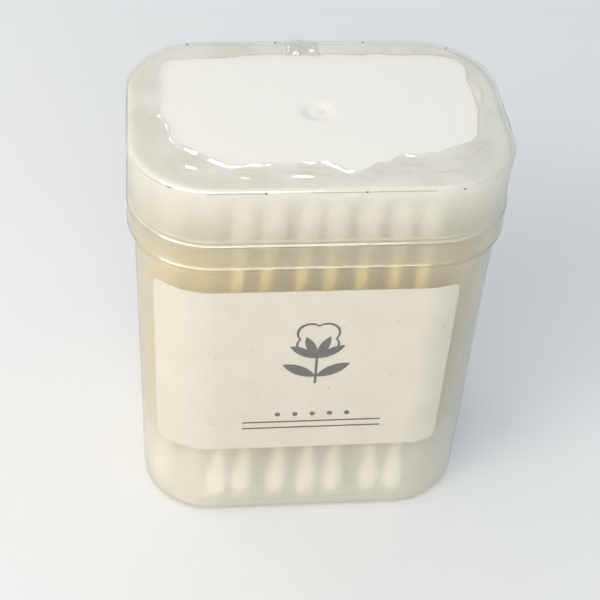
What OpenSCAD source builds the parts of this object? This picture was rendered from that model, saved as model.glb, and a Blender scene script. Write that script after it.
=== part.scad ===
// Cotton swab box: a frosted box with a push-on lid, a wrap-round label, a clear shrink film
// that is slit along the lid's rim, and rows of wooden swabs standing inside.
// Millimetres, +Z up, the front is at -Y, the origin is at the centre of the foot.

/* [Box] */
// Width over the lid, left to right
lid_w = 65; // [58:0.5:90]
// Depth over the lid, front to back
lid_d = 43.5; // [42:0.5:60]
// Radius of the lid's upright corners
corner_r = 14.2; // [10:0.1:18]
// How far the body stands back from the lid's face, each side
body_step = 0.9; // [0.6:0.05:1.2]
// How much narrower the body is at its foot than at its shoulder, each side
draft = 0.3; // [0:0.05:0.6]
// Wall of the body
body_wall = 1.1; // [0.9:0.05:1.3]
// Thickness of the floor
floor_t = 1.2; // [0.8:0.1:3]
// Height of the foot rim under the floor
foot_h = 1; // [0.4:0.1:3]
// Width of the foot rim's flat land
foot_land = 1.4; // [0.8:0.1:4]
// Radius of the outer edge at the foot
foot_edge_r = 1.2; // [0.6:0.1:2]
// Radius inside, between the wall and the floor
floor_fillet = 1; // [0.4:0.1:2]

/* [Lid] */
// Height of the lid
lid_h = 16.4; // [13:0.1:24]
// Wall of the lid above its band
lid_wall = 1.5; // [1.2:0.05:1.8]
// Thickness of the lid's top
lid_top_t = 1.2; // [0.8:0.1:2.5]
// Radius of the lid's outer top edge
lid_edge_r = 1.3; // [0.6:0.1:3]
// Radius inside, between the lid's wall and its top
lid_fillet = 1.8; // [0.6:0.1:3]
// Height of the proud band round the lid's rim
band_h = 5.2; // [4:0.1:9]
// How far the band stands proud of the lid's face
band_out = 0.35; // [0.1:0.05:0.8]
// Gap between the body's neck and the band round it
neck_gap = 0.35; // [0.3:0.05:0.5]
// Height of the gap where the lid seats on the neck and over the shoulder
seat_gap = 0.3; // [0.2:0.05:0.6]
// How far the snap bead stands proud of the neck
bead_out = 0.1; // [0.05:0.05:0.2]
// Height of the snap bead
bead_h = 1; // [0.6:0.1:2]
// Diameter of the dished gate mark on the lid
gate_d = 6.4; // [3:0.1:9]
// Depth of the gate mark
gate_depth = 0.35; // [0.2:0.05:0.6]
// Diameter of the pip left in the gate mark
gate_pip_d = 1.4; // [0.8:0.1:2.5]
// Height of the pip
gate_pip_h = 0.25; // [0.1:0.05:0.3]

/* [Swabs] */
// Length of a swab over its cotton tips
swab_l = 73.5; // [66:0.5:90]
// Diameter of the wooden stick
stick_d = 2.2; // [1.6:0.1:2.8]
// Largest diameter of a cotton tip
tip_d = 4.5; // [3.6:0.1:4.6]
// Diameter of a cotton tip's round end
tip_end_d = 3.4; // [2.6:0.1:3.5]
// Diameter of the cotton where it thins out on the stick
tip_neck_d = 2.7; // [2.4:0.1:3.5]
// Length of a cotton tip
tip_l = 11; // [9:0.5:18]
// Height of a tip's fullest ring above its end
tip_full_z = 4.8; // [4:0.1:7]
// Thickness of cotton over the end of the stick
tip_cover = 1.6; // [0.8:0.1:2.5]
// Radial gap between the stick and the cotton wound on it
wind_gap = 0.02; // [0:0.01:0.1]
// Room between the swabs and the lid's top
head_room = 5.1; // [4.5:0.1:12]
// Least gap between two tips, and between a tip and the wall
tip_gap = 0.12; // [0.05:0.01:0.3]
// How full each row is packed
row_fill = 0.95; // [0.6:0.01:1]
// How far the leftmost swab of each row leans to the right, front row first
lean_left = [5, 2, -3, 5, 1, -4, 3, -2];
// How far the rightmost swab of each row leans to the right, front row first
lean_right = [0.5, 5, 2, -3, 4, -1, 2, -3];

/* [Label] */
// Length of the label along the wall
label_w = 55; // [46:0.5:60]
// Height of the label
label_h = 40.5; // [30:0.5:48]
// Distance from the lid's rim down to the label
label_drop = 6.4; // [5.5:0.1:10]
// How far the label is stuck to the left of the middle
label_shift = 2.9; // [0:0.1:3.5]
// Thickness of the label
label_t = 0.12; // [0.08:0.01:0.2]
// Radius of the label's corners
label_corner = 1.5; // [0.5:0.1:4]
// Thickness of the print
print_t = 0.06; // [0.04:0.01:0.1]
// Width of the printed lines
print_line = 0.45; // [0.25:0.05:0.8]
// Width of the printed sprig
sprig_w = 15; // [10:0.5:17]
// Length of the printed rules
rule_l = 26; // [14:0.5:28]
// Number of printed dots over the rules
dot_count = 5; // [3:2:9]

/* [Film] */
// Thickness of the shrink film
film_t = 0.1; // [0.06:0.01:0.15]
// Gap between the film and the lid
film_gap = 0.05; // [0.02:0.01:0.15]
// Gap between the film and the print
film_slack = 0.07; // [0.03:0.01:0.3]
// Height over which the film bridges from the lid's rim to the body
tent_h = 4.8; // [2:0.1:5.4]
// Width of the film folded over the lid's top
fold_w = 6.2; // [3:0.1:8]
// Width over which the flat of the fold laps the turn at the lid's edge
fold_lap = 1; // [0.4:0.1:2]
// How much the edge of the fold wanders
fold_wander = 0.9; // [0:0.1:1.2]
// Depth of the notch in the front of the fold
notch_depth = 2.4; // [0:0.1:2.6]
// Place of the notch, to the right of the middle
notch_x = 4.2; // [-10:0.1:12]
// Width of the notch
notch_w = 5; // [2:0.1:8]

/* [Hidden] */
$fn = 96;

// Steps in each arc of a section
arc_steps = 5;
// Points round the edge of the film's fold
fold_points = 96;

milky = [0.90, 0.90, 0.87, 0.55];
cream = [0.93, 0.90, 0.84];
ink = [0.30, 0.27, 0.25];
clear = [0.95, 0.97, 1.00, 0.20];
wood = [0.80, 0.66, 0.44];
cotton = [0.97, 0.96, 0.94];

// Heights
floor_z = foot_h + floor_t;
box_h = floor_z + tip_gap + swab_l + head_room + lid_top_t;
rim_z = box_h - lid_h;
step_z = rim_z + band_h;
neck_z = step_z - seat_gap;
shoulder_z = rim_z - seat_gap;
ceiling_z = box_h - lid_top_t;
label_top = rim_z - label_drop;
label_low = label_top - label_h;
label_mid = (label_top + label_low) / 2;

// Every outline is a step out from one core rectangle, whose corners are the corner centres
core_x = lid_w / 2 - corner_r;
core_y = lid_d / 2 - corner_r;
body_u = corner_r - body_step;
inner_u = body_u - body_wall;
lid_inner_u = corner_r - lid_wall;
band_u = corner_r + band_out;
band_inner_u = body_u;
neck_u = band_inner_u - neck_gap;

// The rows of swabs
row_count = len(lean_left);
tip_r = tip_d / 2;
tip_end_r = tip_end_d / 2;
stick_r = stick_d / 2;
stick_l = swab_l - 2 * tip_cover;
room_u = inner_u - draft - tip_r - tip_gap;
room_x = core_x + room_u;
room_y = core_y + room_u;
row_pitch = 2 * room_y / (row_count - 1);
least_pitch = tip_d + tip_gap;

// The film stands off the body by the label, its print and a little slack
film_off = label_t + print_t + film_slack;
cap_off = film_gap;

// The body's outer face at height z, as a step out from the core
function body_face(z) = body_u - draft * (1 - z / shoulder_z);
function wall_tilt() = atan(draft / shoulder_z);

// An arc of radius r about c, from angle a to angle b
function arc(c, r, a, b, steps = arc_steps) =
    [for (i = [0 : steps]) let (t = a + (b - a) * i / steps) [c[0] + r * cos(t), c[1] + r * sin(t)]];

// One quarter of the outline: a straight side and the corner that follows it
module quarter(k) {
    along = k % 2 == 0 ? core_x : core_y;
    across = k % 2 == 0 ? core_y : core_x;
    rotate([0, 0, 90 * k]) translate([along, across, 0]) {
        rotate([90, 0, 0]) linear_extrude(2 * across) children();
        rotate_extrude(angle = 90) children();
    }
}

// Sweeps a section, drawn as step out from the core against height, round the whole outline
module around() {
    for (k = [0 : 3]) quarter(k) children();
}

// The plate that closes a swept section over the core
module core_plate(low, high) {
    translate([-core_x, -core_y, low]) cube([2 * core_x, 2 * core_y, high - low]);
}

// A flat outline stepped out from the core by u
module outline(u) {
    square([2 * (core_x + u), 2 * core_y], center = true);
    square([2 * core_x, 2 * (core_y + u)], center = true);
    for (sx = [-1, 1], sy = [-1, 1]) translate([sx * core_x, sy * core_y]) circle(u);
}

module base_section() {
    foot_u = body_u - draft;
    wall_in = function (z) body_face(z) - body_wall;
    edge = arc([foot_u - foot_edge_r, foot_edge_r], foot_edge_r, -90, 0);
    fillet = arc(
        [wall_in(floor_z) - floor_fillet, floor_z + floor_fillet], floor_fillet, 0, -90
    );
    bead_z = rim_z + band_h / 3;
    polygon(concat(
        [[0, foot_h], [foot_u - foot_edge_r - foot_land - foot_h / 2, foot_h],
            [foot_u - foot_edge_r - foot_land, 0]],
        edge,
        [[body_u, shoulder_z], [neck_u, shoulder_z]],
        [[neck_u, bead_z - bead_h / 2], [neck_u + bead_out, bead_z - bead_h / 4],
            [neck_u + bead_out, bead_z + bead_h / 4], [neck_u, bead_z + bead_h / 2]],
        [[neck_u, neck_z - bead_out], [neck_u - bead_out, neck_z], [inner_u, neck_z]],
        [[inner_u, shoulder_z]],
        fillet,
        [[0, floor_z]]
    ));
}

module base() {
    color(milky) {
        around() base_section();
        core_plate(foot_h, floor_z);
    }
}

module lid_section() {
    rim_r = band_out / 2;
    top = arc([corner_r - lid_edge_r, box_h - lid_edge_r], lid_edge_r, 0, 90);
    fillet = arc([lid_inner_u - lid_fillet, ceiling_z - lid_fillet], lid_fillet, 90, 0);
    polygon(concat(
        [[band_inner_u, rim_z], [band_u - rim_r, rim_z], [band_u, rim_z + rim_r]],
        [[band_u, step_z - band_out], [corner_r, step_z]],
        top,
        [[0, box_h], [0, ceiling_z]],
        fillet,
        [[lid_inner_u, step_z], [band_inner_u, step_z]]
    ));
}

module lid() {
    color(milky) {
        around() lid_section();
        difference() {
            core_plate(ceiling_z, box_h);
            translate([0, 0, box_h - gate_depth])
                cylinder(h = 2 * gate_depth, d1 = gate_d / 2, d2 = gate_d * 3 / 2);
        }
        translate([0, 0, box_h - gate_depth]) cylinder(h = gate_pip_h, d = gate_pip_d);
    }
}

// How far the label reaches each way on the flat front, and round each corner in degrees
reach = [label_w / 2 + label_shift, label_w / 2 - label_shift];
flat = [min(reach[0], core_x), min(reach[1], core_x)];
wrap = [for (i = [0, 1]) (reach[i] - flat[i]) / body_u * 180 / PI];

module label_section() {
    polygon([
        [body_face(label_low), label_low], [body_face(label_low) + label_t, label_low],
        [body_face(label_top) + label_t, label_top], [body_face(label_top), label_top]
    ]);
}

// What is cut away to round a label corner, in the label's own plane, with the corner at the origin
module corner_cut() {
    difference() {
        translate([-label_corner, -label_corner]) square(2 * label_corner);
        translate([label_corner, label_corner]) circle(label_corner);
        translate([label_corner, -label_corner]) square([label_corner, 2 * label_corner]);
        translate([-label_corner, label_corner]) square([2 * label_corner, label_corner]);
    }
}

// Places a corner cut on the wall, where the label ends at the given angle from the front
module at_label_end(end, z, up) {
    side = end == 0 ? -1 : 1;
    translate([side * flat[end], -core_y, z])
        rotate([0, 0, side * wrap[end]])
            rotate([90, 0, 0])
                translate([0, 0, body_u - body_wall])
                    mirror([end, 0, 0]) mirror([0, up ? 0 : 1, 0])
                        linear_extrude(2 * body_wall) corner_cut();
}

module label() {
    color(cream) difference() {
        union() {
            translate([flat[1], -core_y, 0]) rotate([90, 0, -90])
                linear_extrude(flat[0] + flat[1]) label_section();
            if (wrap[0] > 0) translate([-core_x, -core_y, 0]) rotate([0, 0, -90])
                rotate_extrude(angle = -wrap[0]) label_section();
            if (wrap[1] > 0) translate([core_x, -core_y, 0]) rotate([0, 0, -90])
                rotate_extrude(angle = wrap[1]) label_section();
        }
        for (end = [0, 1]) {
            at_label_end(end, label_low, true);
            at_label_end(end, label_top, false);
        }
    }
}

// A pointed leaf of the given length and width, standing up from the origin
module leaf(l, w) {
    r = (l * l / 4 + w * w / 4) / w;
    intersection() {
        translate([r - w / 2, l / 2]) circle(r);
        translate([w / 2 - r, l / 2]) circle(r);
    }
}

// The puffy outline of an open cotton boll, as four overlapping rounds
module boll(r) {
    for (a = [45 : 90 : 315]) rotate(a) translate([r * 0.55, 0]) circle(r * 0.62);
}

// A cotton sprig: an open boll held by pointed husks, on a stem with two leaves
module sprig(w) {
    boll_r = w * 0.26;
    boll_y = w * 0.34;
    difference() {
        translate([0, boll_y]) boll(boll_r);
        translate([0, boll_y]) boll(boll_r - print_line * 0.9);
        translate([-w / 2, -w / 2]) square([w, w / 2 + boll_y - boll_r * 1.02]);
    }
    for (a = [-58, -22, 22, 58])
        translate([0, boll_y - boll_r * 1.25]) rotate(a) leaf(boll_r * 1.5, boll_r * 0.45);
    translate([-print_line / 2, -w * 0.42]) square([print_line, w * 0.46]);
    for (side = [-1, 1])
        translate([0, -w * 0.30]) rotate(-side * 62) leaf(w * 0.46, w * 0.15);
}

// The printed design, drawn about the middle of the label's flat front
module design() {
    translate([0, label_h * 0.09]) sprig(sprig_w);
    for (y = [-label_h * 0.32, -label_h * 0.36])
        translate([0, y]) square([rule_l, print_line * 0.7], center = true);
    for (i = [0 : dot_count - 1])
        translate([(i / (dot_count - 1) - 0.5) * rule_l / 2, -label_h * 0.27]) circle(print_line * 1.1);
}

module label_print() {
    color(ink)
        translate([0, -core_y - body_face(label_mid) - label_t, label_mid])
            rotate([90 + wall_tilt(), 0, 0])
                linear_extrude(print_t) design();
}

// The film round the body: it leaves the lid's rim, bridges in to the wall and turns under the foot
module sleeve_section() {
    foot_u = body_u - draft;
    under = 45;
    bridge = 6;
    top_u = band_u + cap_off;
    foot_z = shoulder_z - tent_h;
    face = function (z) body_face(z) + film_off;
    tent = function (t) face(foot_z) + (top_u - face(foot_z)) * pow(1 - t, 2.2);
    centre = [foot_u - foot_edge_r, foot_edge_r];
    inside = [for (i = [0 : bridge]) let (t = i / bridge) [tent(t), shoulder_z - tent_h * t]];
    outside = [for (i = [bridge : -1 : 0]) inside[i] + [film_t, 0]];
    polygon(concat(
        inside,
        arc(centre, foot_edge_r + film_off, 0, -under),
        arc(centre, foot_edge_r + film_off + film_t, -under, 0),
        outside
    ));
}

module film_sleeve() {
    color(clear) around() sleeve_section();
}

// The film round the lid, from the rim over the band and the edge to a lap on the lid's top
module cap_section() {
    centre = [corner_r - lid_edge_r, box_h - lid_edge_r];
    top_z = box_h + cap_off;
    side = function (off) [
        [band_u + off, rim_z], [band_u + off, step_z - band_out], [corner_r + off, step_z]
    ];
    polygon(concat(
        side(cap_off + film_t),
        arc(centre, lid_edge_r + cap_off + film_t, 0, 90),
        [[centre[0] - fold_lap, top_z + film_t], [centre[0] - fold_lap, top_z]],
        arc(centre, lid_edge_r + cap_off, 90, 0),
        [for (i = [2 : -1 : 0]) side(cap_off)[i]]
    ));
}

// The fold's edge at angle a: a rounded rectangle that wanders, with one notch at the front
function fold_reach(a, x, y) = 1 / pow(pow(abs(cos(a)) / x, 3.4) + pow(abs(sin(a)) / y, 3.4), 1 / 3.4);
function fold_edge(a) =
    let (
        plain = fold_reach(a, core_x + corner_r - fold_w, core_y + corner_r - fold_w),
        wander = fold_wander * (0.5 * sin(3 * a + 40) + 0.3 * sin(5 * a + 200) + 0.2 * sin(9 * a)),
        off = (plain * cos(a) - notch_x) / notch_w,
        notch = sin(a) < 0 ? notch_depth * exp(-4 * off * off) : 0
    )
    (plain + wander + notch) * [cos(a), sin(a)];

module film_cap() {
    color(clear) {
        around() cap_section();
        translate([0, 0, box_h + cap_off]) linear_extrude(film_t) difference() {
            outline(corner_r - lid_edge_r - fold_lap / 2);
            polygon([for (i = [0 : fold_points - 1]) fold_edge(360 * i / fold_points)]);
        }
    }
}

// The rows. Row 1 is at the front
function row_y(row) = -room_y + (row - 1) * row_pitch;
// Half the width that is open to the middle of a tip at depth y
function room_at(y) =
    abs(y) <= core_y ? room_x : core_x + sqrt(max(pow(room_u, 2) - pow(abs(y) - core_y, 2), 0));
// The two ends of a row, where it stands and at the top of the swabs
function row_ends(row) =
    let (half = room_at(row_y(row)), l = lean_left[row - 1], r = lean_right[row - 1])
    [[-half + max(-l, 0), half - max(r, 0)], [-half + max(l, 0), half - max(-r, 0)]];
function row_spans(row) = let (e = row_ends(row)) [e[0][1] - e[0][0], e[1][1] - e[1][0]];
function row_swabs(row) = floor(min(row_spans(row)) * row_fill / least_pitch) + 1;
// A wandering value between -1 and 1 for swab i of a row
function stray(row, i, k) = sin(row * 97 + i * 141 + k * 71);
// Where swab i of a row stands (k = 0) and where its top is (k = 1)
function swab_x(row, i, k) =
    let (
        n = row_swabs(row),
        ends = row_ends(row)[k],
        pitch = (ends[1] - ends[0]) / (n - 1),
        play = (pitch - least_pitch) / 2,
        inward = i == 0 ? 1 : i == n - 1 ? -1 : 0,
        s = stray(row, i, k)
    )
    ends[0] + i * pitch + play * (inward == 0 ? s : inward * abs(s));

// Stands a swab on the floor, leaning to the right by its own angle
module place_swab(row, i) {
    low = swab_x(row, i, 0);
    lean = atan2(swab_x(row, i, 1) - low, swab_l);
    translate([low, row_y(row), floor_z + tip_gap + tip_end_r])
        rotate([0, lean, 0])
            translate([0, 0, -tip_end_r]) children();
}

module stick() {
    translate([0, 0, tip_cover]) cylinder(h = stick_l, r = stick_r, $fn = 32);
}

// A wound cotton tip with its round end at z = 0, open where the stick goes in
module cotton_tip() {
    shift = tip_end_r;
    widen = [for (t = [0.45, 1])
        [tip_end_r + (tip_r - tip_end_r) * sin(90 * t), shift + (tip_full_z - shift) * t]];
    thin = [for (t = [0.25, 0.5, 0.75, 1])
        [tip_neck_d / 2 + (tip_r - tip_neck_d / 2) * (1 + cos(180 * t)) / 2,
            tip_full_z + (tip_l - tip_full_z) * t]];
    rotate_extrude($fn = 32) polygon(concat(
        arc([0, shift], tip_end_r, -90, 0, 3),
        widen,
        thin,
        [[stick_r + wind_gap, tip_l], [stick_r + wind_gap, tip_cover], [0, tip_cover]]
    ));
}

module sticks_row(row) {
    color(wood) for (i = [0 : row_swabs(row) - 1]) place_swab(row, i) stick();
}

module cotton_row(row) {
    color(cotton) for (i = [0 : row_swabs(row) - 1]) place_swab(row, i) {
        cotton_tip();
        translate([0, 0, swab_l]) mirror([0, 0, 1]) cotton_tip();
    }
}

base();
lid();
label();
label_print();
film_sleeve();
film_cap();
sticks_row(1);  // sticks_row_1
sticks_row(2);  // sticks_row_2
sticks_row(3);  // sticks_row_3
sticks_row(4);  // sticks_row_4
sticks_row(5);  // sticks_row_5
sticks_row(6);  // sticks_row_6
sticks_row(7);  // sticks_row_7
sticks_row(8);  // sticks_row_8
cotton_row(1);  // cotton_row_1
cotton_row(2);  // cotton_row_2
cotton_row(3);  // cotton_row_3
cotton_row(4);  // cotton_row_4
cotton_row(5);  // cotton_row_5
cotton_row(6);  // cotton_row_6
cotton_row(7);  // cotton_row_7
cotton_row(8);  // cotton_row_8
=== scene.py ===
import math

import bmesh
import bpy
import numpy as np
from mathutils import Matrix, Vector, noise


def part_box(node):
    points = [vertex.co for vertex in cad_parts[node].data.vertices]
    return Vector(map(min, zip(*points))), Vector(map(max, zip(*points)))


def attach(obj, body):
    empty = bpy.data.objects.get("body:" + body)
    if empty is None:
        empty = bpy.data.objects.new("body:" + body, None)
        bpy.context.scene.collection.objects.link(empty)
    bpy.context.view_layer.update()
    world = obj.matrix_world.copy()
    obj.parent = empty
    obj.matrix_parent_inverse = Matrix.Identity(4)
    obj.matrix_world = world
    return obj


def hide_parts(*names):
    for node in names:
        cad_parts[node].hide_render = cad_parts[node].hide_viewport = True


MM = 0.001
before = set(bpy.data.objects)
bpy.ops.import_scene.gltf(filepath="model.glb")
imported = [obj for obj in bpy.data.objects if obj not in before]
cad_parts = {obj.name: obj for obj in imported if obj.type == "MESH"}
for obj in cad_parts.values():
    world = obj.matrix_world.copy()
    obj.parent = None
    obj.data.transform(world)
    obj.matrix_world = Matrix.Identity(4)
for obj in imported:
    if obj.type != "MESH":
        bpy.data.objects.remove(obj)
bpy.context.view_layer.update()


def node_box(node):
    """A CAD node's lowest and highest corners at rest, in millimetres to two places."""
    return [[round(c / MM, 2) for c in corner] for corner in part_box(node)]


# Sizes of the box, in millimetres. LID_X and LID_Y are half the lid's sides. CORE_X and CORE_Y
# are half the sides of the rectangle that the upright corners are turned round. Steps out are
# measured from it. STEP_Z is the top of the lid's band, and the body's wall turns in to its neck
# at SHOULDER_Z.
(_, _, RIM_Z), (LID_X, LID_Y, BOX_H) = node_box("lid")
CORNER_R, BAND_OUT, BAND_H = 14.2, 0.35, 5.2
CORE_X, CORE_Y = LID_X - BAND_OUT - CORNER_R, LID_Y - BAND_OUT - CORNER_R
STEP_Z, SHOULDER_Z = RIM_Z + BAND_H, RIM_Z - 0.3
BODY_U, DRAFT = CORNER_R - 0.9, 0.3
LID_EDGE_R, FOOT_EDGE_R = 1.3, 1.2
# How far a cotton tip reaches past its stick, and its length
TIP_COVER, TIP_L = 1.6, 11.0
ROWS = range(1, 9)


def body_face(z):
    """The body's outer face at height z, as a step out from the core rectangle."""
    return BODY_U - DRAFT * (1 - z / SHOULDER_Z)


# Small helpers

def smooth(a, b, x):
    """Rises from 0 at a to 1 at b."""
    t = min(max((x - a) / (b - a), 0.0), 1.0)
    return t * t * (3 - 2 * t)


def bell(x, centre, width):
    return math.exp(-(((x - centre) / width) ** 2))


def soft_noise(x, y, z, scale):
    return noise.noise(Vector((x / scale, y / scale, z / scale)))


def make_mesh(name, verts, faces, body, materials, shade=True):
    """A mesh piece from millimetre points. It rides on a CAD body and takes a slot's finish."""
    mesh = bpy.data.meshes.new(name)
    mesh.from_pydata([tuple(c * MM for c in v) for v in verts], [], faces)
    mesh.update()
    if shade:
        mesh.shade_smooth()
    obj = bpy.data.objects.new(name, mesh)
    bpy.context.scene.collection.objects.link(obj)
    for material in materials:
        mesh.materials.append(material)
    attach(obj, body)
    return obj


def grid_faces(rows, columns, closed=True, flip=False):
    """The quads between rows of points, each row a closed ring or an open line."""
    faces = []
    for r in range(rows - 1):
        for c in range(columns if closed else columns - 1):
            d = (c + 1) % columns
            quad = (r * columns + c, r * columns + d, (r + 1) * columns + d, (r + 1) * columns + c)
            faces.append(quad[::-1] if flip else quad)
    return faces


def stations(step, turn):
    """Points round the core rectangle, each with the angle of the way out from it, in degrees.

    They stand this step apart on the straight sides. Each corner has this many of them.
    """
    out = []
    for k in range(4):
        half, across = ((CORE_Y, CORE_X), (CORE_X, CORE_Y))[k % 2]
        ca, sa = round(math.cos(math.pi / 2 * k)), round(math.sin(math.pi / 2 * k))
        count = max(2, round(2 * half / step))
        for i in range(count):
            along = -half + 2 * half * i / count
            out.append((across * ca - along * sa, across * sa + along * ca, 90.0 * k))
        for i in range(turn):
            out.append((across * ca - half * sa, across * sa + half * ca, 90.0 * (k + i / turn)))
    return out


def way_out(angle):
    """The direction at this angle in degrees."""
    a = math.radians(angle)
    return math.cos(a), math.sin(a)


def corner_share(angle, reach):
    """0 on the straight sides, and 1 from this many degrees into a corner."""
    return smooth(0, reach, min(angle % 90, 90 - angle % 90))


# Building blocks of the materials. Most give the socket that the next one takes.

def new_material(name):
    mat = bpy.data.materials.new(name)
    mat.use_nodes = True
    mat.node_tree.nodes.clear()
    return mat, mat.node_tree.nodes, mat.node_tree.links


def add(nodes, kind, **values):
    """A shader node. Each value sets the socket of its name or, without one, the node's property."""
    node = nodes.new(kind)
    for key, value in values.items():
        label = key.replace("_", " ")
        if label in node.inputs:
            node.inputs[label].default_value = value
        else:
            setattr(node, key, value)
    return node


def object_noise(nodes, links, scale, detail=3.0, stretch=(1, 1, 1), rough=0.55):
    coord = nodes.new("ShaderNodeTexCoord")
    mapping = add(nodes, "ShaderNodeMapping", Scale=stretch)
    tex = add(nodes, "ShaderNodeTexNoise", Scale=scale, Detail=detail, Roughness=rough)
    links.new(coord.outputs["Object"], mapping.inputs["Vector"])
    links.new(mapping.outputs["Vector"], tex.inputs["Vector"])
    return tex.outputs["Fac"]


def ramp(nodes, links, source, stops):
    """A colour ramp. A stop is a place with a colour or a grey level."""
    node = nodes.new("ShaderNodeValToRGB")
    elements = node.color_ramp.elements
    while len(elements) < len(stops):
        elements.new(0.5)
    for element, (at, colour) in zip(elements, stops):
        element.position = at
        element.color = (*colour, 1) if isinstance(colour, tuple) else (colour, colour, colour, 1)
    links.new(source, node.inputs["Fac"])
    return node.outputs["Color"]


def height_share(nodes, links):
    """The point's height as a share of the box's height."""
    coord = nodes.new("ShaderNodeTexCoord")
    place = nodes.new("ShaderNodeSeparateXYZ")
    links.new(coord.outputs["Object"], place.inputs[0])
    height = add(nodes, "ShaderNodeMapRange", From_Max=BOX_H * MM)
    links.new(place.outputs["Z"], height.inputs["Value"])
    return height.outputs[0]


def by_height(stops):
    """A ramp's stops from stops at heights in millimetres."""
    return [(z / BOX_H, value) for z, value in stops]


def bump(nodes, links, source, strength, distance):
    node = add(nodes, "ShaderNodeBump", Strength=strength, Distance=distance)
    links.new(source, node.inputs["Height"])
    return node.outputs["Normal"]


def mix(nodes, links, fac, a, b):
    """Shader a turning into shader b. The share of b is a number or a socket."""
    node = nodes.new("ShaderNodeMixShader")
    if isinstance(fac, float):
        node.inputs[0].default_value = fac
    else:
        links.new(fac, node.inputs[0])
    links.new(a, node.inputs[1])
    links.new(b, node.inputs[2])
    return node.outputs[0]


def lets_light_by(nodes, links, surface, colour):
    """The surface, through which this much of a lamp's light passes to what lies behind it."""
    clear = add(nodes, "ShaderNodeBsdfTransparent", Color=(*colour, 1))
    path = nodes.new("ShaderNodeLightPath")
    return mix(nodes, links, path.outputs["Is Shadow Ray"], surface, clear.outputs[0])


def finish_material(nodes, links, shader):
    out = nodes.new("ShaderNodeOutputMaterial")
    links.new(shader, out.inputs["Surface"])


# The frosted plastic of both mouldings

PLASTIC_TINT, PLASTIC_IOR, NEAR_BLUR = (0.982, 0.976, 0.938, 1), 1.4, 0.42
HAZE_SCALE, HAZE_SHARE = 60, 0.08
# Share of the milk, and of the plain milky shade, that is lit from behind
MILK_GLOW, SHADE_GLOW = 0.6, 0.8
CROWN_COLOUR = (0.775, 0.748, 0.693, 1)
# How much of a face's colour is the crown's, against how far the face looks up
CROWN_SHARE = [(0.55, 0.0), (0.97, 0.80)]
# The milk's colours, and then its share and its colour at heights in millimetres. By height they paint the
# light and shade of what stands behind: the wood's colour by the sticks, painted shade at the lid's band,
# more milk at the foot, and more and lighter milk toward the lid's top
CLOUD, WOOD_CLOUD, LID_CLOUD = (0.895, 0.885, 0.84), (0.89, 0.858, 0.76), (0.895, 0.88, 0.845)
# Painted shade and the wood's colour: the lid's milk is darker at its band
RIM_SHADE_CLOUD = (0.785, 0.768, 0.722)
BODY_MILK = [(0, 0.56), (15, 0.56), (25, 0.30), (59, 0.28), (65, 0.38), (72, 0.12)]
BODY_CLOUD = [(0, CLOUD), (53, CLOUD), (60, WOOD_CLOUD), (66, WOOD_CLOUD), (76, CLOUD)]
LID_MILK = [(65, 0.04), (70.2, 0.08), (71.4, 0.36), (80.4, 0.66), (80.8, 0.78)]
LID_CLOUDS = [(65, WOOD_CLOUD), (71, RIM_SHADE_CLOUD), (82, LID_CLOUD)]


def frosted_plastic(name, milkiness, cloud, blur, passed):
    """Milky polypropylene. Both faces of a wall blur what stands behind it, and the near one is milky.

    Beside the wood the milk takes on its colour, and its colour and share by height paint the light and
    shade of what stands behind. A face that looks up is matt and nearly white.
    Light that goes on from the cotton and the wood meets the plastic as a plain milky shade.
    """
    mat, nodes, links = new_material(name)
    height = height_share(nodes, links)
    tone = ramp(nodes, links, height, by_height(cloud))
    amount = add(nodes, "ShaderNodeMath", operation="MULTIPLY_ADD")
    amount.inputs[1].default_value = HAZE_SHARE
    links.new(object_noise(nodes, links, HAZE_SCALE), amount.inputs[0])
    links.new(ramp(nodes, links, height, by_height(milkiness)), amount.inputs[2])
    near = add(nodes, "ShaderNodeBsdfGlass", Color=PLASTIC_TINT, Roughness=NEAR_BLUR, IOR=PLASTIC_IOR)
    far = add(nodes, "ShaderNodeBsdfGlass", Color=PLASTIC_TINT, Roughness=blur, IOR=PLASTIC_IOR)
    white = nodes.new("ShaderNodeBsdfDiffuse")
    glow = nodes.new("ShaderNodeBsdfTranslucent")
    links.new(tone, white.inputs["Color"])
    links.new(tone, glow.inputs["Color"])
    crown = add(nodes, "ShaderNodeBsdfDiffuse", Color=CROWN_COLOUR)
    where = nodes.new("ShaderNodeNewGeometry")
    split = nodes.new("ShaderNodeSeparateXYZ")
    links.new(where.outputs["Normal"], split.inputs[0])
    upward = ramp(nodes, links, split.outputs["Z"], CROWN_SHARE)
    milk = mix(nodes, links, MILK_GLOW, white.outputs[0], glow.outputs[0])
    outer = mix(nodes, links, amount.outputs[0], near.outputs[0], milk)
    outer = mix(nodes, links, upward, outer, crown.outputs[0])
    seen = mix(nodes, links, where.outputs["Backfacing"], outer, far.outputs[0])
    shade = mix(nodes, links, SHADE_GLOW, white.outputs[0], glow.outputs[0])
    path = nodes.new("ShaderNodeLightPath")
    wall = mix(nodes, links, path.outputs["Is Diffuse Ray"], seen, shade)
    finish_material(nodes, links, lets_light_by(nodes, links, wall, (passed, passed, passed * 0.98)))
    return mat


# How much less film passes, against how far it is seen along its surface
FILM_DEPTH = [(0.0, 0.0), (0.6, 0.01), (0.86, 0.12), (1.0, 0.40)]
# Gloss of the film seen straight on, and what it gains when it is seen along its surface
FILM_GLOSS, FILM_GLEAM, GLEAM_POWER = 0.08, 0.7, 4.0
VEIL_COLOUR = (0.93, 0.925, 0.89, 1)


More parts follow.
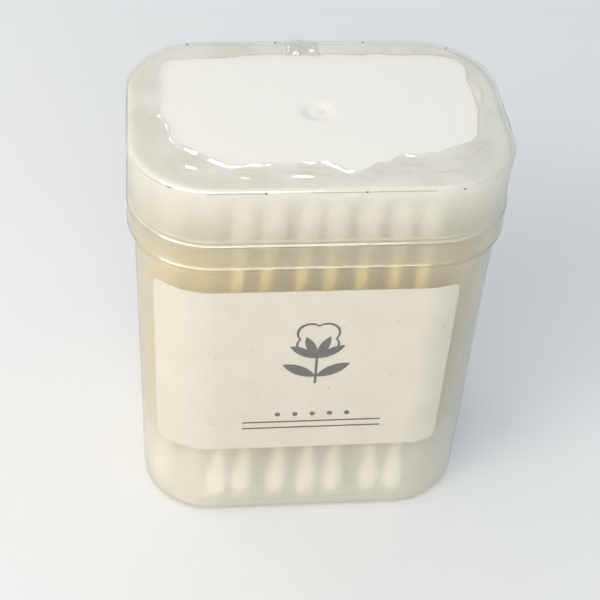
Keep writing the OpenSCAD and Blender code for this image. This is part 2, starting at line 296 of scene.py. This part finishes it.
def shrink_film(name, passed, gloss_least=FILM_GLOSS, warmth=0.025, haze=0.0):
    """Clear glossy film: see-through, darker where it is seen along its surface, with a thin sharp gloss.

    Warmth is how much less blue it passes. Haze is the most that a milky veil hides.
    """
    mat, nodes, links = new_material(name)
    draws = object_noise(nodes, links, 260, 2, (1, 1, 0.35))
    normal = bump(nodes, links, draws, 0.10, 0.0002)
    gloss = add(nodes, "ShaderNodeBsdfGlossy", Color=(1, 1, 1, 1), Roughness=0.05)
    facing = add(nodes, "ShaderNodeLayerWeight", Blend=0.5)
    links.new(normal, gloss.inputs["Normal"])
    links.new(normal, facing.inputs["Normal"])
    levels = [(at, passed - less) for at, less in FILM_DEPTH]
    stops = [(at, (t, t - 0.15 * warmth, t - warmth)) for at, t in levels]
    clear = nodes.new("ShaderNodeBsdfTransparent")
    links.new(ramp(nodes, links, facing.outputs["Facing"], stops), clear.inputs["Color"])
    gleam = add(nodes, "ShaderNodeMath", operation="POWER")
    gleam.inputs[1].default_value = GLEAM_POWER
    links.new(facing.outputs["Facing"], gleam.inputs[0])
    amount = add(nodes, "ShaderNodeMath", operation="MULTIPLY_ADD", use_clamp=True)
    amount.inputs[1].default_value = FILM_GLEAM
    amount.inputs[2].default_value = gloss_least
    links.new(gleam.outputs[0], amount.inputs[0])
    through = clear.outputs[0]
    if haze:
        clouds = object_noise(nodes, links, 110, 1.0, (1, 1, 1), 0.4)
        veil = ramp(nodes, links, clouds, [(0.38, 0.0), (0.62, haze)])
        milky = add(nodes, "ShaderNodeBsdfDiffuse", Color=VEIL_COLOUR)
        through = mix(nodes, links, veil, through, milky.outputs[0])
    surface = mix(nodes, links, amount.outputs[0], through, gloss.outputs[0])
    finish_material(nodes, links, lets_light_by(nodes, links, surface, (passed, passed, passed)))
    return mat


def vent_edge():
    """The dark edge of a vent hole: brown, a little uneven."""
    mat, nodes, links = new_material("vent_edge")
    patchiness = object_noise(nodes, links, 4000, 2)
    tone = ramp(nodes, links, patchiness, [(0.35, (0.05, 0.045, 0.035)), (0.7, (0.16, 0.14, 0.11))])
    burnt = add(nodes, "ShaderNodeBsdfPrincipled", Roughness=0.6)
    links.new(tone, burnt.inputs["Base Color"])
    finish_material(nodes, links, burnt.outputs[0])
    return mat


def label_paper():
    """Smooth cream paper, faintly mottled with a few pale grey specks. It lets some light into the box."""
    mat, nodes, links = new_material("label_paper")
    mottle = object_noise(nodes, links, 140, 4)
    tone = ramp(nodes, links, mottle, [(0.3, (0.69, 0.645, 0.55)), (0.7, (0.73, 0.685, 0.59))])
    speck = object_noise(nodes, links, 900, 1)
    spots = ramp(nodes, links, speck, [(0.22, (0.80, 0.78, 0.74)), (0.26, (1.0, 1.0, 1.0))])
    tint = add(nodes, "ShaderNodeMixRGB", blend_type="MULTIPLY", Fac=1.0)
    links.new(tone, tint.inputs["Color1"])
    links.new(spots, tint.inputs["Color2"])
    fibre = object_noise(nodes, links, 3200, 3, (1, 1, 0.4))
    paper = add(nodes, "ShaderNodeBsdfPrincipled", Roughness=0.55, Specular_IOR_Level=0.35)
    links.new(tint.outputs["Color"], paper.inputs["Base Color"])
    links.new(bump(nodes, links, fibre, 0.3, 0.00006), paper.inputs["Normal"])
    finish_material(nodes, links, lets_light_by(nodes, links, paper.outputs[0], (0.42, 0.38, 0.31)))
    return mat


def label_ink():
    """Dark grey-brown print that lies a little unevenly on the paper."""
    mat, nodes, links = new_material("label_ink")
    cover = object_noise(nodes, links, 1500, 3)
    tone = ramp(nodes, links, cover, [(0.3, (0.10, 0.085, 0.075)), (0.75, (0.15, 0.13, 0.115))])
    ink = add(nodes, "ShaderNodeBsdfPrincipled", Roughness=0.5, Specular_IOR_Level=0.4)
    links.new(tone, ink.inputs["Base Color"])
    finish_material(nodes, links, ink.outputs[0])
    return mat


WOOD_GRAIN = [(0.3, (0.81, 0.65, 0.28)), (0.55, (0.89, 0.75, 0.37)), (0.8, (0.93, 0.82, 0.47))]
# How much of the stick the tips' fibres hide, at heights in millimetres
FIBRE_FRINGE = [(0, 0.9), (14, 0.85), (17, 0.0), (60.5, 0.0), (64, 0.6), (82, 0.9)]


def stick_wood():
    """Pale turned birch with long fine grain, which fades under cotton fibres near the swabs' tips."""
    mat, nodes, links = new_material("stick_wood")
    grain = object_noise(nodes, links, 1300, 4, (1, 1, 0.05))
    fringe = ramp(nodes, links, height_share(nodes, links), by_height(FIBRE_FRINGE))
    tint = add(nodes, "ShaderNodeMixRGB", Color2=(0.93, 0.91, 0.86, 1))
    links.new(fringe, tint.inputs["Fac"])
    links.new(ramp(nodes, links, grain, WOOD_GRAIN), tint.inputs["Color1"])
    wood = add(nodes, "ShaderNodeBsdfPrincipled", Roughness=0.6)
    links.new(tint.outputs["Color"], wood.inputs["Base Color"])
    links.new(bump(nodes, links, grain, 0.5, 0.00008), wood.inputs["Normal"])
    finish_material(nodes, links, wood.outputs[0])
    return mat


def cotton_wool():
    """Wound white cotton: soft fibre with a faint sheen, loose enough to let light through."""
    mat, nodes, links = new_material("cotton")
    wool = object_noise(nodes, links, 2600, 5, (1, 1, 1.6), 0.7)
    tone = ramp(nodes, links, wool, [(0.3, (0.86, 0.85, 0.82)), (0.7, (0.93, 0.92, 0.90))])
    cotton = add(nodes, "ShaderNodeBsdfPrincipled", Roughness=0.95, Specular_IOR_Level=0.1)
    cotton.inputs["Sheen Weight"].default_value = 0.35
    cotton.inputs["Sheen Roughness"].default_value = 0.5
    links.new(tone, cotton.inputs["Base Color"])
    links.new(bump(nodes, links, wool, 0.8, 0.0002), cotton.inputs["Normal"])
    finish_material(nodes, links, lets_light_by(nodes, links, cotton.outputs[0], (0.62, 0.61, 0.58)))
    return mat


def floor_paper():
    """A plain pale table top with the faintest unevenness."""
    mat, nodes, links = new_material("floor_paper")
    cloud = object_noise(nodes, links, 3.0, 3)
    tone = ramp(nodes, links, cloud, [(0.3, (0.715, 0.71, 0.70)), (0.7, (0.745, 0.74, 0.73))])
    grain = object_noise(nodes, links, 900, 3)
    floor = add(nodes, "ShaderNodeBsdfPrincipled", Roughness=0.65, Specular_IOR_Level=0.25)
    links.new(tone, floor.inputs["Base Color"])
    links.new(bump(nodes, links, grain, 0.05, 0.0002), floor.inputs["Normal"])
    finish_material(nodes, links, floor.outputs[0])
    return mat


BODY_PLASTIC = frosted_plastic("frosted_body", BODY_MILK, BODY_CLOUD, blur=0.50, passed=0.80)
LID_PLASTIC = frosted_plastic("frosted_lid", LID_MILK, LID_CLOUDS, blur=0.60, passed=0.58)
FILM = shrink_film("shrink_film", 0.965)
FOLDED_FILM = shrink_film("folded_film", 0.885, 0.12, warmth=0.06, haze=0.20)
# Darker film for the strips under the folds: painted shade along each fold
CREASE_SHADE_FILM = shrink_film("crease_shade_film", 0.62)
SEALED_FILM = shrink_film("sealed_film", 0.95, 0.22)
# Darker, khaki film where it bridges from the lid's rim to the body: painted shade under the rim
BRIDGE_SHADE_FILM = shrink_film("bridge_shade_film", 0.955, warmth=0.09)
PAPER, INK, VENT = label_paper(), label_ink(), vent_edge()
WOOD, COTTON = stick_wood(), cotton_wool()


# CAD nodes that stay, with their own materials

def dress(node, material):
    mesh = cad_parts[node].data
    mesh.materials.clear()
    mesh.materials.append(material)


dress("base", BODY_PLASTIC)
dress("lid", LID_PLASTIC)
dress("label", PAPER)
dress("label_print", INK)
for row in ROWS:
    dress(f"sticks_row_{row}", WOOD)


# Cotton tips, wound round the ends of each CAD stick

# Radius of the wound cotton against the distance from its round end, in millimetres
TIP_PROFILE = [
    (0.0, 0.0), (0.12, 0.62), (0.4, 1.10), (0.9, 1.50), (1.7, 1.84), (2.8, 2.08), (3.8, 2.20), (4.8, 2.23),
    (5.8, 2.12), (6.8, 1.90), (7.8, 1.66), (8.8, 1.46), (9.8, 1.32), (10.5, 1.24), (TIP_L, 1.15),
]
TIP_AT, TIP_RADIUS = zip(*TIP_PROFILE)
# Distances of the tip's rings from its round end, closer together where it is rounder
TIP_RINGS = [0.05, 0.2, 0.45, 0.8, 1.25, 1.8] + [2.3 + 0.5 * i for i in range(18)] + [TIP_L]
# Points round a tip, and its largest radius
TIP_SIDES, TIP_MOST = 26, 2.27
# The uneven winding fades in over the round end, and drops to a share of itself at the thin end
WIND_FROM, WIND_TO, WIND_LEFT = 1.5, 10.4, 0.3


def stick_axes(node):
    """The low and high end of each stick in a CAD node, in millimetres, read from its mesh."""
    bm = bmesh.new()
    bm.from_mesh(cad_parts[node].data)
    bmesh.ops.remove_doubles(bm, verts=bm.verts, dist=1e-6)
    seen, axes = set(), []
    for seed in bm.verts:
        if seed in seen:
            continue
        seen.add(seed)
        stick, front = [seed], [seed]
        while front:
            for edge in front.pop().link_edges:
                for v in edge.verts:
                    if v not in seen:
                        seen.add(v)
                        stick.append(v)
                        front.append(v)
        middle = sum(v.co.z for v in stick) / len(stick)
        ends = []
        for side in (-1, 1):
            ring = [v.co for v in stick if (v.co.z - middle) * side > 0.01]
            ends.append(sum(ring, Vector()) / len(ring) / MM)
        axes.append(ends)
    bm.free()
    return sorted(axes, key=lambda ends: ends[0].x)


def tip_radius(t, a, seed):
    """The uneven radius of a wound tip at a distance from its round end and an angle round it."""
    turn = a + seed
    wind = 0.035 * math.sin(2 * turn + t * 3.4 + seed) + 0.02 * math.sin(turn - t * 5.1)
    lump = 0.11 * noise.noise(Vector((math.cos(a) * 1.1 + seed * 3.1, math.sin(a) * 1.1, t / 2.3)))
    fine = 0.05 * noise.noise(Vector((math.cos(a) * 3.2, math.sin(a) * 3.2 + seed * 5.7, t * 1.3)))
    fade = min(1.0, t / WIND_FROM) * (1.0 if t < WIND_TO else WIND_LEFT)
    swell = 0.005 * math.sin(seed * 2.1)
    plain = float(np.interp(t, TIP_AT, TIP_RADIUS))
    return min(plain * (1 + (wind + lump + fine) * fade) + swell, TIP_MOST)


def cotton_tip(end, axis, seed, verts, faces):
    """Adds one wound tip, whose round end is at this point and which runs along the axis."""
    across = axis.orthogonal().normalized()
    other = axis.cross(across)
    start = len(verts)
    verts.append(end)
    for t in TIP_RINGS:
        for i in range(TIP_SIDES):
            a = 2 * math.pi * i / TIP_SIDES
            out = across * math.cos(a) + other * math.sin(a)
            verts.append(end + axis * t + out * tip_radius(t, a, seed))
    for i in range(TIP_SIDES):
        faces.append((start, start + 1 + (i + 1) % TIP_SIDES, start + 1 + i))
    for quad in grid_faces(len(TIP_RINGS), TIP_SIDES):
        faces.append(tuple(start + 1 + i for i in quad))


for row in ROWS:
    verts, faces = [], []
    for k, (low, high) in enumerate(stick_axes(f"sticks_row_{row}")):
        axis = (high - low).normalized()
        cotton_tip(low - axis * TIP_COVER, axis, row * 7.3 + k * 1.9, verts, faces)
        cotton_tip(high + axis * TIP_COVER, -axis, row * 3.1 + k * 2.7 + 5, verts, faces)
    tips = make_mesh(f"cotton_tips_{row}", verts, faces, "base", [COTTON])
    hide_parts(f"cotton_row_{row}")


# The shrink film

# Half the sides of the film's opening on the lid's top, and how square its corners are
FOLD_X, FOLD_Y, FOLD_POWER = 27.2, 16.2, 5.0
# How far the opening's edge runs outside its plain outline, every 15 degrees from +X
FOLD_WANDER = [
    0.4, 0.3, 2.1, 0.7, 0.4, 0.4, 0.4, 0.5, 0.5, -0.3, 1.6, -0.5,
    -0.2, -2.0, -3.3, -0.7, -1.0, -1.0, -0.9, 1.7, -0.6, -3.6, -3.8, -0.7,
]
WANDER_STEP = 360 / len(FOLD_WANDER)
# Creases in the folded film on the lid's top, from point to point
FOLD_CREASES = [
    (-24.5, -14.6, -20.0, -17.0), (-16.0, -18.2, -11.5, -19.2), (-9.0, -18.2, 0.5, -18.8),
    (5.0, -17.8, 9.0, -18.8), (10.5, -16.6, 16.5, -16.9), (16.0, -18.6, 22.5, -18.9),
    (20.0, -15.2, 24.0, -15.8), (24.0, -13.8, 28.2, -9.6), (28.8, 1.5, 29.4, 7.0),
    (-29.4, 5.0, -28.2, 10.0), (-27.6, 11.4, -24.0, 15.4),
]
# Height of a crease, and how wide its steep and its gentle side are
CREASE_H, CREASE_FACE, CREASE_BACK = 0.58, 0.43, 1.2
# Width of the lip that the opening's edge turns up into
LIP_W = 0.6
# Slope of the narrow faces that lean back and catch the lamp
LEAN = 1.2
# How far the film lies off the lid's wall, off its band and over its top
WALL_OFF, BAND_OFF, TOP_OFF = 0.11, 0.08, 0.12
# Steps along the straight sides, and points in each corner, of the cap and the sleeve
CAP_RING, SLEEVE_RING = (0.6, 26), (0.8, 22)
FOLD_ROWS = 64


def fold_edge(a):
    """The edge of the film's opening on the lid's top, at angle a from +X."""
    part_x, part_y = abs(math.cos(a) / FOLD_X), abs(math.sin(a) / FOLD_Y)
    plain = (part_x**FOLD_POWER + part_y**FOLD_POWER) ** (-1 / FOLD_POWER)
    at = (math.degrees(a) % 360) / WANDER_STEP
    i = int(at) % len(FOLD_WANDER)
    f = smooth(0, 1, at - int(at))
    wander = FOLD_WANDER[i] * (1 - f) + FOLD_WANDER[(i + 1) % len(FOLD_WANDER)] * f
    wander += 0.35 * soft_noise(math.cos(a) * 30, math.sin(a) * 30, 3, 3.2)
    return (plain + wander) * math.cos(a), (plain + wander) * math.sin(a)


def crease_height(x, y):
    """A crease rises steeply on its outer side and falls gently toward the lid's middle."""
    height = 0.0
    for x0, y0, x1, y1 in FOLD_CREASES:
        length = math.hypot(x1 - x0, y1 - y0)
        tx, ty = (x1 - x0) / length, (y1 - y0) / length
        nx, ny = (-ty, tx) if -ty * x0 + tx * y0 < 0 else (ty, -tx)
        along = ((x - x0) * tx + (y - y0) * ty) / length
        inward = (x - x0) * nx + (y - y0) * ny
        rise = max(0.0, min(1 + inward / CREASE_FACE, 1 - inward / CREASE_BACK))
        height = max(height, CREASE_H * rise * smooth(0, 0.35, along) * smooth(0, 0.35, 1 - along))
    return height


def crumple(x, y):
    """Height of the folded film's crumples, with creases where facets meet."""
    return 0.50 * abs(soft_noise(x * 0.6, y, 5, 4.5)) + 0.10 * abs(soft_noise(x, y, 12, 1.8))


def leaning(u, z, depth):
    """A narrow flat face that leans back as it rises, with points inside it so that it shades as flat."""
    return [(u - depth * f, z + LEAN * depth * f) for f in (0, 0.15, 0.85, 1)]


def cap_profile():
    """The film's section from the lid's rim to the crease round its top, as step out against height.

    Each fold is a short face that leans back, over a strip of darker film that is painted shade under the
    fold.
    The second value gives the rows of those strips.
    """
    band, wall = CORNER_R + BAND_OUT, CORNER_R + WALL_OFF
    rim = [(band + 0.10, RIM_Z), (band + 0.22, RIM_Z + 0.08), (band + 0.21, RIM_Z + 0.16)]
    rim += leaning(band + 0.20, RIM_Z + 0.19, 0.15) + [(band + 0.03, RIM_Z + 0.46)]
    ups = [0.9, 1.3] + [1.5 + 0.11 * i for i in range(6)] + [2.8, 3.6, BAND_H - 0.7]
    face = [(band + BAND_OFF, RIM_Z + up) for up in ups]
    step = [(band + 0.09, STEP_Z - 0.40), (band + 0.17, STEP_Z - 0.16), (band + 0.165, STEP_Z - 0.09)]
    step += leaning(band + 0.15, STEP_Z - 0.06, 0.16)
    step += [(band - 0.02, STEP_Z + 0.19), (CORNER_R + 0.20, STEP_Z + 0.44), (CORNER_R + 0.13, STEP_Z + 0.8)]
    side = [(wall, z) for z in np.linspace(STEP_Z + 1.5, BOX_H - LID_EDGE_R, 14)]
    crease = [(wall + 0.01, BOX_H - 0.62), (wall + 0.03, BOX_H - 0.46)]
    crease += [(wall + 0.13, BOX_H - 0.20), (wall + 0.13, BOX_H - 0.15)]
    crease += leaning(wall + 0.12, BOX_H - 0.12, 0.17)
    crease += [(wall - 0.07, BOX_H + 0.10), (wall - 0.2, BOX_H + 0.14), (wall - 0.6, BOX_H + TOP_OFF)]
    shade_rows = (0, len(rim + face), len(rim + face + step + side) + 1)
    return rim + face + step + side + crease, shade_rows


def wall_row(ring, u, z):
    """The cap's film round the lid's side at a height, puckered at the corners near its top."""
    high = smooth(BOX_H - 8, BOX_H - 1, z)
    line = []
    for cx, cy, angle in ring:
        nx, ny = way_out(angle)
        x, y = cx + u * nx, cy + u * ny
        pucker = 0.30 * abs(soft_noise(x, y, z * 0.35, 2.2)) * (0.05 + corner_share(angle, 30)) * high
        ease = 0.05 * (1 + soft_noise(x, y, z, 5.0))
        front = bell(x, 3.0, 7.5) if ny < -0.9 else 0.0
        ridge = 0.12 * front * bell(z, RIM_Z + 1.78, 0.16)
        out = u + pucker + ease + ridge
        line.append((cx + out * nx, cy + out * ny, z + 0.3 * pucker * smooth(BOX_H - 0.7, BOX_H, z)))
    return line


def fold_row(outer, f):
    """The folded film on the lid's top, at a share of the way from the outer crease to the opening."""
    line = []
    for x0, y0, _ in outer:
        ex, ey = fold_edge(math.atan2(y0, x0))
        x, y = x0 + (ex - x0) * f, y0 + (ey - y0) * f
        wide = math.hypot(ex - x0, ey - y0)
        left = wide * (1 - f)
        rise = max(0.0, 1 - left / LIP_W)
        lip = LIP_W * rise * (LEAN - 0.4 + 0.4 * rise) * (0.85 + 0.5 * soft_noise(x, y, 2, 5.0))
        ripple = crumple(x, y) * smooth(0.2, 1.6, wide * f) * (0.35 + 0.65 * smooth(0, 2.0, left))
        corner = smooth(FOLD_X - 9, FOLD_X, abs(x0)) * smooth(FOLD_Y - 7, FOLD_Y, abs(y0))
        pleat = 0.5 * abs(soft_noise(x0, y0, 9, 1.2)) * corner * smooth(0.3, 1.5, wide * f)
        line.append((x, y, BOX_H + TOP_OFF + ripple + pleat + lip + crease_height(x, y)))
    return line


def film_cap():
    """The film round the lid: up over the band and the edge, then folded flat onto the top."""
    ring = stations(*CAP_RING)
    profile, shade_rows = cap_profile()
    rows = [wall_row(ring, u, z) for u, z in profile]
    outer = rows[-1]
    for k in range(1, FOLD_ROWS + 1):
        share = k / FOLD_ROWS
        rows.append(fold_row(outer, 0.5 * math.sin(math.pi / 2 * share) + 0.5 * share))
    verts = [point for line in rows for point in line]
    faces = grid_faces(len(rows), len(ring))
    looks = [FILM, FOLDED_FILM, CREASE_SHADE_FILM]
    cap = make_mesh("film_cap_skin", verts, faces, "lid", looks)
    # The top is folded film. The painted shade strips under the folds show here and there, and not at the
    # back.
    for face in cap.data.polygons:
        row = face.index // len(ring)
        x, y, z = (c / MM for c in face.center)
        if row >= len(profile) - 1:
            face.material_index = looks.index(FOLDED_FILM)
        elif row in shade_rows and y < 2 and soft_noise(x, y, z, 9.0) > -0.12:
            face.material_index = looks.index(CREASE_SHADE_FILM)
    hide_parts("film_cap")


# The left front corner and the sides of the film's sealed lump, and its points each way
SEAL_X, SEAL_Y, SEAL_W, SEAL_D = -4.0, 17.0, 6.0, 4.8
SEAL_COLUMNS, SEAL_LINES = 56, 40


def film_seal():
    """The lump where the film's ends are sealed together, at the back of the lid's top."""
    verts = []
    for r in range(SEAL_LINES):
        for c in range(SEAL_COLUMNS):
            f, g = c / (SEAL_COLUMNS - 1), r / (SEAL_LINES - 1)
            edge = smooth(0, 0.15, f) * smooth(0, 0.15, 1 - f) * smooth(0, 0.2, g) * smooth(0, 0.2, 1 - g)
            x = SEAL_X + SEAL_W * f + 0.4 * soft_noise(f * 5, g * 5, 2, 1.3)
            y = SEAL_Y + SEAL_D * g + 0.4 * soft_noise(f * 5, g * 5, 8, 1.3)
            lumps = 0.9 * abs(soft_noise(x * 0.6, y, 1, 1.2)) + 0.30 * abs(soft_noise(x * 0.5, y, 4, 0.6))
            verts.append((x, y, BOX_H + 0.16 + edge * (0.35 + lumps)))
    faces = grid_faces(SEAL_LINES, SEAL_COLUMNS, closed=False)
    make_mesh("film_seal", verts, faces, "lid", [SEALED_FILM])


# How many vent holes the film has, how far they are shifted along the crease, their radius,
# and how far they lie under the lid's top and off its wall
VENTS, VENT_SHIFT, VENT_R, VENT_DROP, VENT_OFF = 12, -2.8, 0.2, 0.36, 0.26
VENT_SIDES = 10


def film_vents():
    """The small dark vent holes that the film has at equal steps along the crease round the lid's top."""
    points = []
    for cx, cy, angle in stations(*CAP_RING):
        nx, ny = way_out(angle)
        wall = CORNER_R + VENT_OFF
        points.append((cx + wall * nx, cy + wall * ny, nx, ny))
    front_y = -(CORE_Y + CORNER_R + VENT_OFF)
    start = min(range(len(points)), key=lambda i: abs(points[i][0]) + abs(points[i][1] - front_y))
    points = points[start:] + points[:start]
    lengths = [0.0]
    for (x0, y0, _, _), (x1, y1, _, _) in zip(points, points[1:] + points[:1]):
        lengths.append(lengths[-1] + math.hypot(x1 - x0, y1 - y0))
    verts, faces = [], []
    for k in range(VENTS):
        target = (lengths[-1] * (k + 0.5) / VENTS + VENT_SHIFT) % lengths[-1]
        i = next(i for i, at in enumerate(lengths) if at >= target) % len(points)
        x, y, nx, ny = points[i]
        first = len(verts)
        for j in range(VENT_SIDES):
            across, up = (VENT_R * c for c in way_out(360 * j / VENT_SIDES))
            verts.append((x - ny * across, y + nx * across, BOX_H - VENT_DROP + up))
        faces.append(tuple(range(first, first + VENT_SIDES)))
    make_mesh("film_vents", verts, faces, "lid", [VENT], shade=False)


# How far the sleeve's film lies off the body's wall and, at the rim, off the lid's band
SLEEVE_OFF, BRIDGE_OFF = 0.29, 0.12
# How far the film turns in under the foot, in degrees, and the least height it keeps there
FOOT_TURN, FOOT_LOW = 70, 0.03


def bridge_span(x, y):
    """How far below its shoulder the film reaches the body: far on the flat sides, near at the corners."""
    flat_x = bell(x - 3, 0, 15) if abs(y) > CORE_Y else 0
    flat_y = bell(y, 0, 7) if abs(x) > CORE_X else 0
    return 2.4 + 4.0 * max(flat_x, flat_y) + 0.8 * soft_noise(x, y, 4, 6.0)


def sleeve_row(ring, z):
    """The sleeve's film round the body at a height, with wrinkles where it draws in from the rim."""
    face = body_face(z) + SLEEVE_OFF
    gather = smooth(50, 60, z) * smooth(SHOULDER_Z + 0.4, SHOULDER_Z - 2, z)
    line = []
    for cx, cy, angle in ring:
        nx, ny = way_out(angle)
        corner = corner_share(angle, 40)
        x, y = cx + face * nx, cy + face * ny
        u = face
        t = (SHOULDER_Z - z) / bridge_span(x, y)
        if t < 1:
            u += (CORNER_R + BAND_OUT + BRIDGE_OFF - face) * (1 - t) ** 1.5
        wrinkle = (0.10 + 0.24 * corner) * abs(soft_noise(x, y, z * 0.3, 2.0)) * gather
        foot = 0.16 * abs(soft_noise(x, y, z * 0.5, 2.4)) * (0.3 + corner) * smooth(12, 3, z)
        slack = 0.05 * (1 + soft_noise(x, y, z, 9.0))
        u += wrinkle + foot + slack
        line.append((cx + u * nx, cy + u * ny, z))
    return line


def foot_row(ring, lowest, t):
    """The sleeve's film where it has turned in under the foot by the angle t, from its lowest row."""
    foot_u = BODY_U - DRAFT - FOOT_EDGE_R
    line = []
    for (cx, cy, angle), (px, py, _) in zip(ring, lowest):
        nx, ny = way_out(angle)
        gap = math.hypot(px - cx, py - cy) - (foot_u + FOOT_EDGE_R)
        r = FOOT_EDGE_R + gap * math.cos(t * 0.9)
        u = foot_u + r * math.cos(t)
        line.append((cx + u * nx, cy + u * ny, max(FOOT_EDGE_R - r * math.sin(t), FOOT_LOW)))
    return line


def film_sleeve():
    """The film round the body: it bridges from the lid's rim to the wall and turns under the foot."""
    ring = stations(*SLEEVE_RING)
    bridge, middle = np.linspace(SHOULDER_Z, 58.8, 30), np.linspace(58.6, 20.0, 40)
    low = np.linspace(19.2, FOOT_EDGE_R, 18)
    rows = [sleeve_row(ring, z) for z in (*bridge, *middle, *low)]
    lowest = rows[-1]
    rows += [foot_row(ring, lowest, t) for t in np.linspace(0.1, math.radians(FOOT_TURN), 7)]
    verts = [point for line in rows for point in line]
    faces = grid_faces(len(rows), len(ring), flip=True)
    looks = [FILM, BRIDGE_SHADE_FILM]
    sleeve = make_mesh("film_sleeve_skin", verts, faces, "base", looks)
    # The bridging film under the rim takes the painted shade
    for face in sleeve.data.polygons:
        x, y, z = (c / MM for c in face.center)
        if SHOULDER_Z - z < bridge_span(x, y):
            face.material_index = looks.index(BRIDGE_SHADE_FILM)
    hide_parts("film_sleeve")


film_cap()
film_seal()
film_vents()
film_sleeve()


# Floor, sky, lamps and camera. Places are in metres.

FLOOR_HALF = 3.0
SKY_STRENGTH = 0.74
# The sky's colour from left to right
SKY = [(0.0, (1.08, 1.06, 1.03)), (0.55, (0.85, 0.925, 1.0)), (1.0, (0.35, 0.54, 0.75))]


def table_top():
    mesh = bpy.data.meshes.new("floor")
    s = FLOOR_HALF
    mesh.from_pydata([(-s, -s, 0), (s, -s, 0), (s, s, 0), (-s, s, 0)], [], [(0, 1, 2, 3)])
    floor = bpy.data.objects.new("floor", mesh)
    bpy.context.scene.collection.objects.link(floor)
    mesh.materials.append(floor_paper())


def sky():
    world = bpy.data.worlds.new("studio")
    bpy.context.scene.world = world
    world.use_nodes = True
    nodes, links = world.node_tree.nodes, world.node_tree.links
    background = nodes["Background"]
    background.inputs["Strength"].default_value = SKY_STRENGTH
    coord = nodes.new("ShaderNodeTexCoord")
    split = nodes.new("ShaderNodeSeparateXYZ")
    links.new(coord.outputs["Generated"], split.inputs[0])
    side = add(nodes, "ShaderNodeMapRange", From_Min=-1.0, From_Max=1.0)
    links.new(split.outputs["X"], side.inputs["Value"])
    links.new(ramp(nodes, links, side.outputs[0], SKY), background.inputs["Color"])


def area_light(name, place, aim, size, power, colour):
    """A rectangular lamp. It lights what stands behind the plastic, but isn't seen through it."""
    light = bpy.data.lights.new(name, "AREA")
    light.shape = "RECTANGLE"
    light.size, light.size_y = size
    light.energy, light.color = power, colour
    obj = bpy.data.objects.new(name, light)
    bpy.context.scene.collection.objects.link(obj)
    obj.location = place
    obj.visible_transmission = False
    obj.rotation_mode = "QUATERNION"
    obj.rotation_quaternion = (Vector(aim) - Vector(place)).to_track_quat("-Z", "Y")
    return obj


# The camera's angles in degrees, found from the box's outlines in the photograph
AZIMUTH, ELEVATION, ROLL = -8.22, 41.83, 4.19
# Distance and the height looked at, in millimetres
DISTANCE, LOOK_Z = 257.7, 45
# Focal length and shift, in pixels of the square frame
FRAME, FOCAL, SHIFT_X, SHIFT_Y = 600, 1358.0, -6.5, -28.3
SENSOR = 36


def camera():
    """A pinhole camera at the photograph's angle."""
    azimuth, elevation, roll = (math.radians(a) for a in (AZIMUTH, ELEVATION, ROLL))
    level = math.cos(elevation)
    back = Vector((math.sin(azimuth) * level, -math.cos(azimuth) * level, math.sin(elevation)))
    right = Vector((0, 0, 1)).cross(back).normalized()
    up = back.cross(right)
    rolled_right = right * math.cos(roll) + up * math.sin(roll)
    rolled_up = up * math.cos(roll) - right * math.sin(roll)
    cam = bpy.data.objects.new("camera", bpy.data.cameras.new("camera"))
    bpy.context.scene.collection.objects.link(cam)
    turn = Matrix((rolled_right, rolled_up, back)).transposed().to_4x4()
    cam.matrix_world = Matrix.Translation((Vector((0, 0, LOOK_Z)) + back * DISTANCE) * MM) @ turn
    cam.data.sensor_width = SENSOR
    cam.data.lens = FOCAL * SENSOR / FRAME
    cam.data.shift_x, cam.data.shift_y = SHIFT_X / FRAME, SHIFT_Y / FRAME
    cam.data.clip_start, cam.data.clip_end = 0.01, 20
    bpy.context.scene.camera = cam


# What the lamps aim at, and their colours
MIDDLE, TOP, LEFT_FLOOR = (0, 0, 0.04), (0, 0, 0.08), (-0.07, 0.10, 0)
WARM, CREAM, SOFT = (1.0, 0.95, 0.88), (1.0, 0.96, 0.90), (1.0, 0.97, 0.93)

table_top()
sky()
area_light("key", (-0.42, -0.28, 0.40), MIDDLE, (0.22, 0.22), 0.75, WARM)
area_light("front", (-0.36, -0.60, 0.60), MIDDLE, (1.3, 0.30), 5.35, CREAM)
back_light = area_light("back", (0.05, 0.33, 0.85), TOP, (0.5, 0.14), 0.5, SOFT)
back_light.visible_glossy = False
area_light("fill", (-0.28, 0.20, 0.20), LEFT_FLOOR, (0.10, 0.10), 0.1, WARM)
camera()

scene = bpy.context.scene
scene.view_settings.view_transform = "Standard"
scene.cycles.use_denoising = True
scene.cycles.denoising_input_passes = "RGB_ALBEDO"
scene.cycles.sample_clamp_indirect = 2.0
scene.cycles.max_bounces = 20
scene.cycles.transmission_bounces = 16
scene.cycles.transparent_max_bounces = 24
